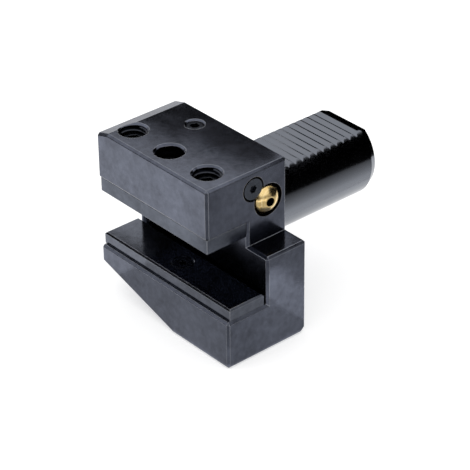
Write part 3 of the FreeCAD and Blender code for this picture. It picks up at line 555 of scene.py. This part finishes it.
def threaded_screw(node, body, along, radius, pitch):
    """A screw in place of its plain solid, its side drawn in to the root and wound with a thread."""
    box_low, box_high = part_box(node)
    turn = along.to_track_quat("Z", "Y").to_matrix().to_4x4()
    upright = Matrix.Translation((box_low + box_high) / 2) @ turn
    shape = bmesh.new()
    shape.from_mesh(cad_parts[node].data)
    bmesh.ops.remove_doubles(shape, verts=shape.verts, dist=SAME_POINT)
    bmesh.ops.transform(shape, matrix=upright.inverted(), verts=shape.verts)
    root = radius - THREAD_DEPTH * pitch
    side = [vertex for vertex in shape.verts if abs(vertex.co.xy.length - radius) < SAME]
    side_low = min(vertex.co.z for vertex in side)
    side_high = max(vertex.co.z for vertex in side)
    for vertex in side:
        vertex.co.xy = vertex.co.xy.normalized() * root
    wound_ridge(shape, root - SAME, radius, False, side_low + pitch / 2, side_high - pitch / 2, pitch)
    bmesh.ops.transform(shape, matrix=upright, verts=shape.verts)
    piece = make_piece(node + "_threaded", shape, screw_steel)
    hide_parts(node)
    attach(piece, body)


threaded_screw("coolant_plug", "holder", UP, PLUG_RADIUS, PLUG_PITCH)
threaded_screw("inlet_plug", "holder", OUT_OF_FLANGE, PLUG_RADIUS, PLUG_PITCH)


# Support plate under the tool: hardened, ground and blackened, so it is the smoothest and
# darkest face of the holder. A countersunk screw and two bright ground dowels hold it on the jaw.
SEAT_BLACK = (0.112, 0.122, 0.150)
SEAT_ROUGHNESS = 0.14
SEAT_SCREW_RADIUS = 2.5 * MM
SEAT_SCREW_PITCH = 0.8 * MM
DOWEL_STEEL = (0.52, 0.53, 0.55)
DOWEL_ROUGHNESS = 0.2
LINES_STRETCH = (150, 150, 9000)
LINES_DETAIL = 3.0
LINES_DARKEST = 0.8
LINES_PALEST = 1.1
LINES_SPREAD = 0.06
LINES_STRENGTH = 0.3
LINES_DEPTH = 0.01 * MM
seat_steel = blackened_steel("seat_steel", SEAT_BLACK, SEAT_ROUGHNESS)
finish_node("support_plate", seat_steel)
threaded_screw("support_plate_screw", "holder", UP, SEAT_SCREW_RADIUS, SEAT_SCREW_PITCH)


def ground_steel(name, colour, roughness):
    """Bright ground steel with fine lines round the Z axis."""
    material, tree, steel = bare_metal(name)
    lines = noise(tree, place_on_piece(tree, LINES_STRETCH), size=1.0, detail=LINES_DETAIL)
    tint = shaded(tree, lines, tinted(colour, LINES_DARKEST), tinted(colour, LINES_PALEST),
                  NOISE_LOW, NOISE_HIGH)
    polish = spread(tree, lines, roughness - LINES_SPREAD, roughness + LINES_SPREAD)
    tree.links.new(tint, steel.inputs["Base Color"])
    tree.links.new(polish, steel.inputs["Roughness"])
    tree.links.new(relief(tree, lines, LINES_STRENGTH, LINES_DEPTH), steel.inputs["Normal"])
    return material


pin_steel = ground_steel("pin_steel", DOWEL_STEEL, DOWEL_ROUGHNESS)
finish_node("support_dowel_left", pin_steel)
finish_node("support_dowel_right", pin_steel)


# Clamp plate under the block: milled from bar, blackened, with two ground guide pins pressed
# into its top. It comes down on the tool's shank.
CLAMP_BLACK = (0.092, 0.102, 0.128)
CLAMP_ROUGHNESS = 0.2
clamp_steel = blackened_steel("clamp_steel", CLAMP_BLACK, CLAMP_ROUGHNESS)
finish_node("clamp_plate", clamp_steel)
finish_node("guide_pin_left", pin_steel)
finish_node("guide_pin_right", pin_steel)


# Lifting screw in the middle bore: it carries the clamp plate on a washer and a small coil
# spring of drawn wire, which draws the plate up when the clamping screws are backed off. The
# spring is 7 mm high at rest and is squashed to 4 mm when the plate is right down.
LIFT_RADIUS = 3.0 * MM
LIFT_PITCH = 1.0 * MM
WIRE_RADIUS = 0.4 * MM
WIRE_SIDES = 12
SPRING_TURNS = 3.5
SPRING_STEPS = 126
SPRING_WIRE = (0.40, 0.41, 0.43)
SPRING_ROUGHNESS = 0.28
spring_steel = ground_steel("spring_steel", SPRING_WIRE, SPRING_ROUGHNESS)
threaded_screw("lift_screw", "clamp", UP, LIFT_RADIUS, LIFT_PITCH)
finish_node("lift_washer", pin_steel)
low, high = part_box("lift_spring")
middle = (low + high) / 2
coil_radius = (high.x - low.x) / 2 - WIRE_RADIUS
climb = high.z - low.z - 2 * WIRE_RADIUS
shape = bmesh.new()
wire = bmesh.ops.create_circle(shape, segments=WIRE_SIDES, radius=WIRE_RADIUS)["verts"]
bmesh.ops.rotate(shape, verts=wire, cent=(0, 0, 0),
                 matrix=Matrix.Rotation(math.radians(90), 3, "X"))
bmesh.ops.translate(shape, verts=wire, vec=(coil_radius, 0, low.z + WIRE_RADIUS))
bmesh.ops.spin(shape, geom=list(shape.verts) + list(shape.edges), cent=(0, 0, 0), axis=(0, 0, 1),
               angle=2 * math.pi * SPRING_TURNS, dvec=(0, 0, climb / SPRING_STEPS),
               steps=SPRING_STEPS, use_merge=False, use_duplicate=False)
wire_ends = [edge for edge in shape.edges if edge.is_boundary]
bmesh.ops.holes_fill(shape, edges=wire_ends, sides=WIRE_SIDES)
bmesh.ops.translate(shape, verts=shape.verts, vec=(middle.x, middle.y, 0))
coil = make_piece("lift_spring_coil", shape, spring_steel)
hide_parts("lift_spring")
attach(coil, "holder")
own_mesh(coil)


# Two clamping screws: set screws with a hexagon socket and a flat point. They press the clamp
# plate down on the tool's shank.
CLAMP_SCREW_RADIUS = 5.95 * MM
threaded_screw("clamp_screw_left", "left_screw", UP, CLAMP_SCREW_RADIUS, CLAMP_PITCH)
threaded_screw("clamp_screw_right", "right_screw", UP, CLAMP_SCREW_RADIUS, CLAMP_PITCH)


# Coolant ball in the end face: turned from brass, with fine tool rings round its axis and a
# drilled orifice, whose wall is painted near black as shade. A sealing ring stands behind it.
BRASS = (1.0, 0.77, 0.39)
BRASS_BAND = (0.80, 0.54, 0.19)
BRASS_BORE_SHADE = (0.020, 0.015, 0.010)
RINGS_STRETCH = (2600, 120, 120)
RINGS_DETAIL = 4.0
RINGS_START = 0.30
RINGS_END = 0.6
RINGS_STRENGTH = 0.4
RINGS_DEPTH = 0.02 * MM
BRASS_SMOOTHEST = 0.19
BRASS_ROUGHEST = 0.29
ORIFICE_RADIUS = 2.0 * MM
ORIFICE_AIM = math.radians(-5.5)
low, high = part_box("nozzle_ball")
ball_brass, tree, brass = bare_metal("ball_brass")
rings = noise(tree, place_on_piece(tree, RINGS_STRETCH), size=1.0, detail=RINGS_DETAIL)
turned = shaded(tree, rings, BRASS_BAND, BRASS, RINGS_START, RINGS_END)
from_middle = tree.nodes.new("ShaderNodeVectorMath")
from_middle.operation = "SUBTRACT"
from_middle.inputs[1].default_value = (low + high) / 2
tree.links.new(place_on_piece(tree), from_middle.inputs[0])
off_axis = tree.nodes.new("ShaderNodeVectorMath")
off_axis.operation = "CROSS_PRODUCT"
off_axis.inputs[1].default_value = (math.cos(ORIFICE_AIM), math.sin(ORIFICE_AIM), 0)
tree.links.new(from_middle.outputs["Vector"], off_axis.inputs[0])
distance = tree.nodes.new("ShaderNodeVectorMath")
distance.operation = "LENGTH"
tree.links.new(off_axis.outputs["Vector"], distance.inputs[0])
# Painted shade: the orifice's wall is painted near black.
in_orifice = reckon(tree, "LESS_THAN", distance.outputs["Value"], ORIFICE_RADIUS + SAME)
tree.links.new(mix_colour(tree, in_orifice, turned, BRASS_BORE_SHADE), brass.inputs["Base Color"])
tree.links.new(spread(tree, rings, BRASS_SMOOTHEST, BRASS_ROUGHEST), brass.inputs["Roughness"])
tree.links.new(relief(tree, rings, RINGS_STRENGTH, RINGS_DEPTH), brass.inputs["Normal"])
finish_node("nozzle_ball", ball_brass)
finish_node("nozzle_seal", seal_rubber)


# Lock screw: a countersunk screw whose head overlaps the ball's edge and holds its aim. It is
# cold-headed with a six-lobed socket, and its thread is rolled.
LOCK_RADIUS = 2.45 * MM
LOCK_PITCH = 0.8 * MM
LOCK_HEAD_RADIUS = 4.85 * MM
LOCK_HEAD_RIM = 0.35 * MM
LOCK_CONE_END = 2.75 * MM
LOCK_ROOT = LOCK_RADIUS - THREAD_DEPTH * LOCK_PITCH
LOBE_RADIUS = 1.95 * MM
LOBE_DEPTH = 0.42 * MM
LOBES = 6
SOCKET_DEPTH = 2.0 * MM
ROUND_STEPS = 96
OUT_OF_END_FACE = Vector((1, 0, 0))


def next_ring(shape, edges, radius, height):
    """Draws a ring of edges on to another ring of the given radius and height."""
    drawn = bmesh.ops.extrude_edge_only(shape, edges=edges)["geom"]
    for item in drawn:
        if isinstance(item, bmesh.types.BMVert):
            item.co.xy = item.co.xy.normalized() * radius
            item.co.z = height
    return [item for item in drawn if isinstance(item, bmesh.types.BMEdge)]


low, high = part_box("nozzle_lock_screw")
screw_end = low.x - high.x
shape = bmesh.new()
bmesh.ops.create_circle(shape, segments=ROUND_STEPS, radius=LOBE_RADIUS)
for vertex in shape.verts:
    lobe = (1 - math.cos(LOBES * math.atan2(vertex.co.y, vertex.co.x))) / 2
    vertex.co.xy = vertex.co.xy.normalized() * (LOBE_RADIUS - LOBE_DEPTH * lobe)
socket_mouth = list(shape.edges)
drawn = bmesh.ops.extrude_edge_only(shape, edges=socket_mouth)["geom"]
bmesh.ops.translate(shape, verts=[item for item in drawn if isinstance(item, bmesh.types.BMVert)],
                    vec=(0, 0, -SOCKET_DEPTH))
socket_foot = [item for item in drawn if isinstance(item, bmesh.types.BMEdge)]
bmesh.ops.contextual_create(shape, geom=socket_foot)
ring = next_ring(shape, socket_mouth, LOCK_HEAD_RADIUS, 0)
ring = next_ring(shape, ring, LOCK_HEAD_RADIUS, -LOCK_HEAD_RIM)
ring = next_ring(shape, ring, LOCK_RADIUS, -LOCK_CONE_END)
ring = next_ring(shape, ring, LOCK_ROOT, -LOCK_CONE_END)
ring = next_ring(shape, ring, LOCK_ROOT, screw_end)
bmesh.ops.contextual_create(shape, geom=ring)
wound_ridge(shape, LOCK_ROOT - SAME, LOCK_RADIUS, False, screw_end + LOCK_PITCH,
            -LOCK_CONE_END - LOCK_PITCH / 2, LOCK_PITCH)
turn = OUT_OF_END_FACE.to_track_quat("Z", "Y").to_matrix().to_4x4()
head_middle = Vector((high.x, (low.y + high.y) / 2, (low.z + high.z) / 2))
bmesh.ops.transform(shape, matrix=Matrix.Translation(head_middle) @ turn, verts=shape.verts)
lock_screw = make_piece("nozzle_lock_screw_threaded", shape, screw_steel)
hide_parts("nozzle_lock_screw")
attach(lock_screw, "lock_screw")
